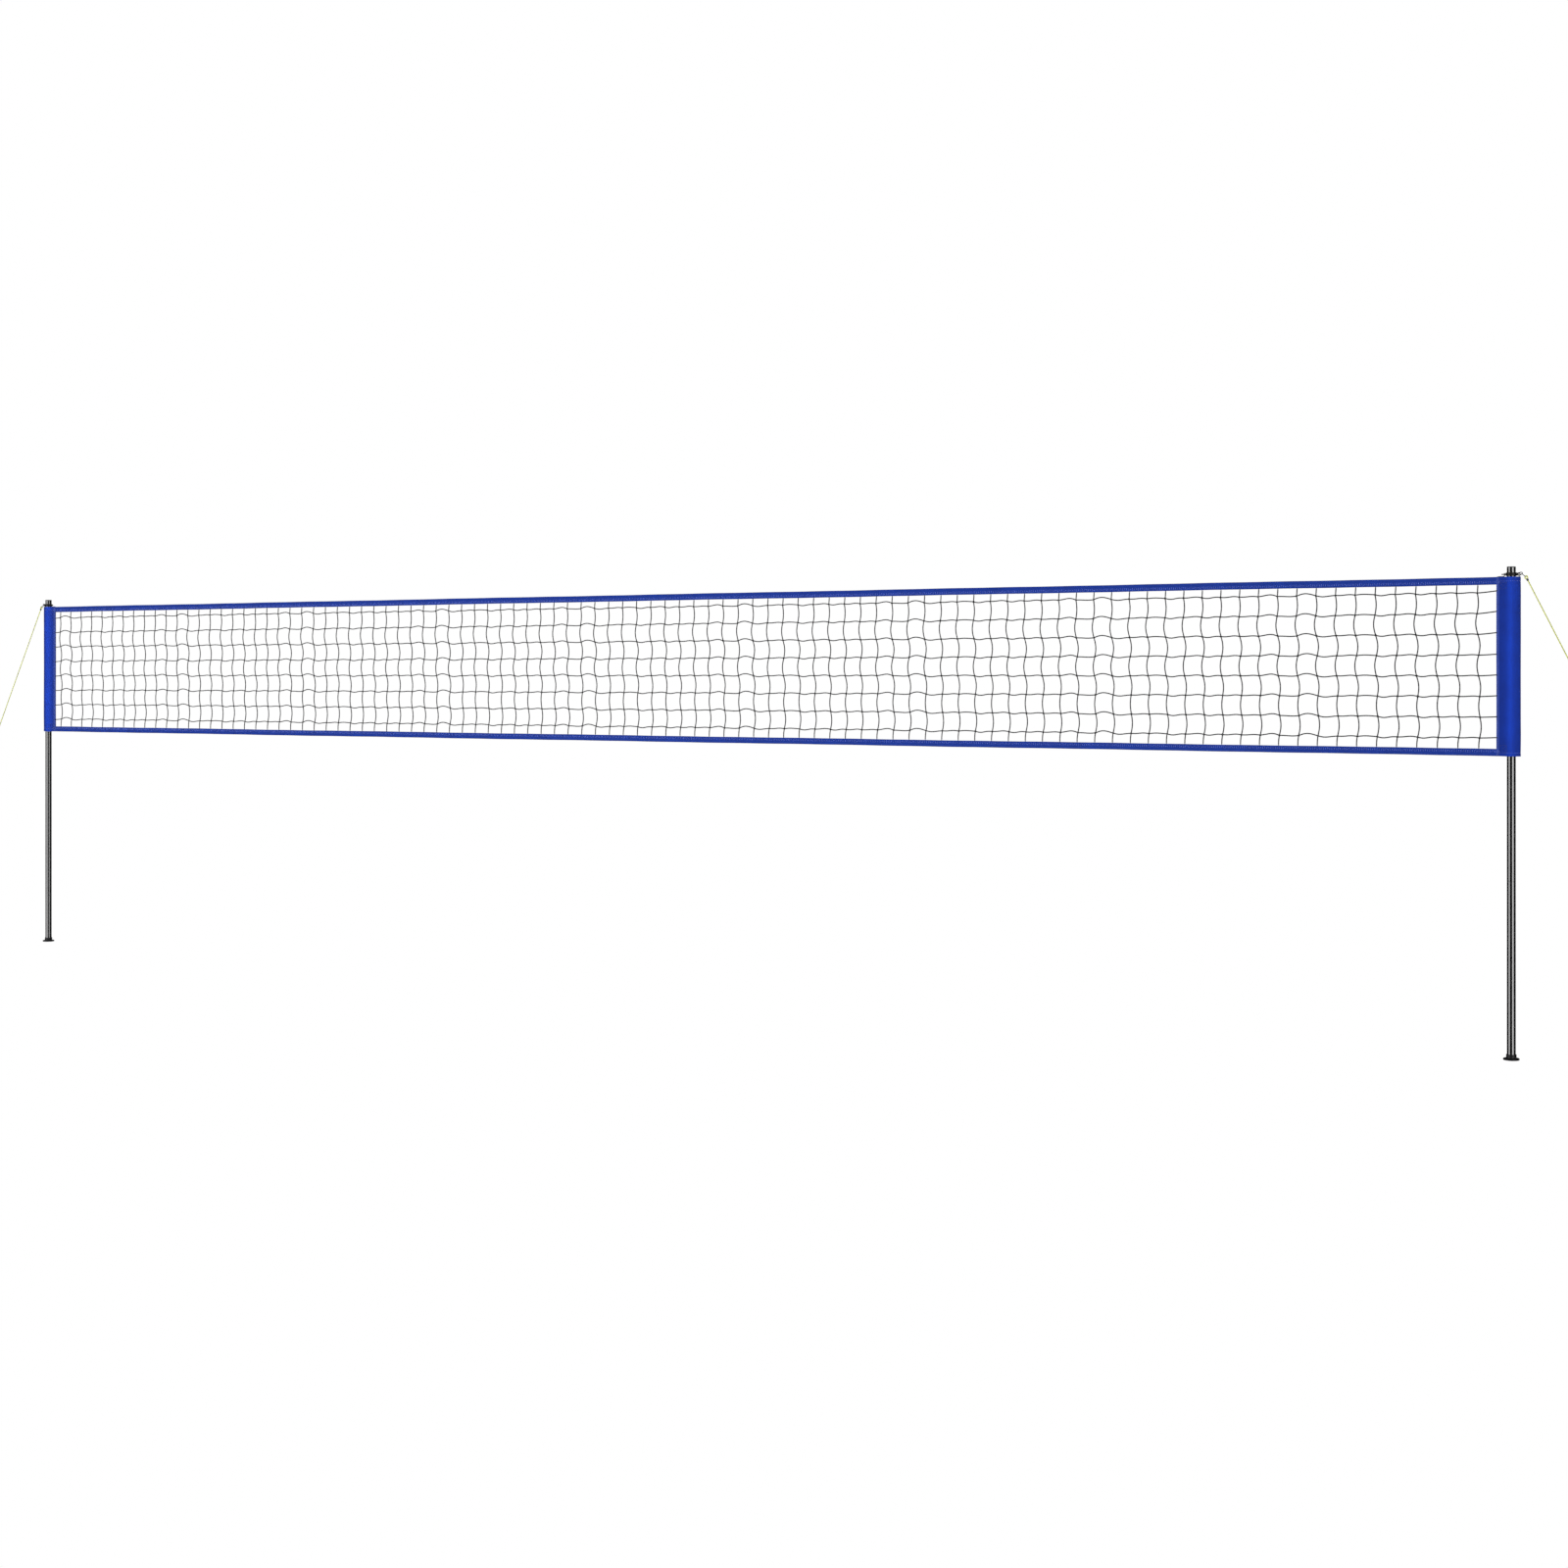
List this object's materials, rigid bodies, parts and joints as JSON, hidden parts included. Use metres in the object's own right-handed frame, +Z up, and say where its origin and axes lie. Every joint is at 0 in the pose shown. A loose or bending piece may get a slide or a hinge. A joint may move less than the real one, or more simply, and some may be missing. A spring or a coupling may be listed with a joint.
{
  "type": "volleyball net on poles",
  "caption": "Volleyball net of square mesh with cloth tapes and end sleeves on two sectional poles, with a hooked guy line at each pole.",
  "frame": {"origin": "on the ground, midway between the two poles", "axes": "+X along the net towards the right-hand pole as seen from the front, +Y from the front to the back, +Z up"},
  "size_m": [10.4874, 0.074, 2.29],
  "materials": {
    "foot_rubber": "matt",
    "foot_plastic": "satin",
    "screw_steel": "satin",
    "pole_paint": "gloss",
    "bush_plastic": "satin",
    "button_steel": "satin",
    "spring_steel": "satin",
    "cap_plastic": "gloss",
    "collar_plastic": "satin",
    "hook_steel": "satin",
    "guy_fabric": "matt",
    "ferrule_plastic": "matt",
    "sleeve_fabric": "satin",
    "tie_fabric": "matt",
    "tape_fabric": "satin",
    "net_twine": "matt",
    "rope_fabric": "matt"
  },
  "bodies": {
    "ground_poles": {"left_foot_pad": "foot_rubber", "right_foot_pad": "foot_rubber", "left_foot_base": "foot_plastic", "right_foot_base": "foot_plastic", "left_foot_screw": "screw_steel", "right_foot_screw": "screw_steel", "left_bottom_tube": "pole_paint", "right_bottom_tube": "pole_paint", "left_middle_tube": "pole_paint", "right_middle_tube": "pole_paint"},
    "net_and_uppers": {"left_upper_tube": "pole_paint", "right_upper_tube": "pole_paint", "left_glide_bush": "bush_plastic", "right_glide_bush": "bush_plastic", "left_button_spring": "spring_steel", "right_button_spring": "spring_steel", "left_top_cap": "cap_plastic", "right_top_cap": "cap_plastic", "left_guy_collar": "collar_plastic", "right_guy_collar": "collar_plastic", "left_collar_screw": "screw_steel", "right_collar_screw": "screw_steel", "left_end_sleeve": "sleeve_fabric", "right_end_sleeve": "sleeve_fabric", "left_corner_tie": "tie_fabric", "right_corner_tie": "tie_fabric", "top_tape": "tape_fabric", "bottom_tape": "tape_fabric", "netting": "net_twine", "head_rope": "rope_fabric", "bottom_rope": "rope_fabric"},
    "left_button": {"left_snap_button": "button_steel"},
    "right_button": {"right_snap_button": "button_steel"},
    "left_hook": {"left_guy_hook": "hook_steel"},
    "right_hook": {"right_guy_hook": "hook_steel"},
    "left_guy": {"left_rope_eye": "guy_fabric", "left_rope_ferrule": "ferrule_plastic", "left_guy_rope": "guy_fabric", "left_rope_end_loop": "guy_fabric"},
    "right_guy": {"right_rope_eye": "guy_fabric", "right_rope_ferrule": "ferrule_plastic", "right_guy_rope": "guy_fabric", "right_rope_end_loop": "guy_fabric"}
  },
  "joints": [
    {"name": "height_adjust", "type": "slide", "parent": "ground_poles", "child": "net_and_uppers", "axis": [0, 0, 1], "range_m": [0, 0.19]},
    {"name": "left_button_press", "type": "slide", "parent": "net_and_uppers", "child": "left_button", "axis": [0, 1, 0], "range_m": [0, 0.003], "stiffness_N_per_m": 1500, "springref_m": -0.002, "deforming": ["left_button_spring"]},
    {"name": "left_hook_swing", "type": "hinge", "parent": "net_and_uppers", "child": "left_hook", "pos_m": [-4.88296, 0, 2.25312], "axis": [-0.6028, 0, 0.7979], "range_deg": [-30, 30]},
    {"name": "left_guy_tilt", "type": "hinge", "parent": "left_hook", "child": "left_guy", "pos_m": [-4.899, 0, 2.241], "axis": [0, 1, 0], "range_deg": [0, 30]},
    {"name": "right_button_press", "type": "slide", "parent": "net_and_uppers", "child": "right_button", "axis": [0, 1, 0], "range_m": [0, 0.003], "stiffness_N_per_m": 1500, "springref_m": -0.002, "deforming": ["right_button_spring"]},
    {"name": "right_hook_swing", "type": "hinge", "parent": "net_and_uppers", "child": "right_hook", "pos_m": [4.88296, 0, 2.25312], "axis": [0.6028, 0, 0.7979], "range_deg": [-30, 30]},
    {"name": "right_guy_tilt", "type": "hinge", "parent": "right_hook", "child": "right_guy", "pos_m": [4.899, 0, 2.241], "axis": [0, -1, 0], "range_deg": [0, 30]}
  ]
}
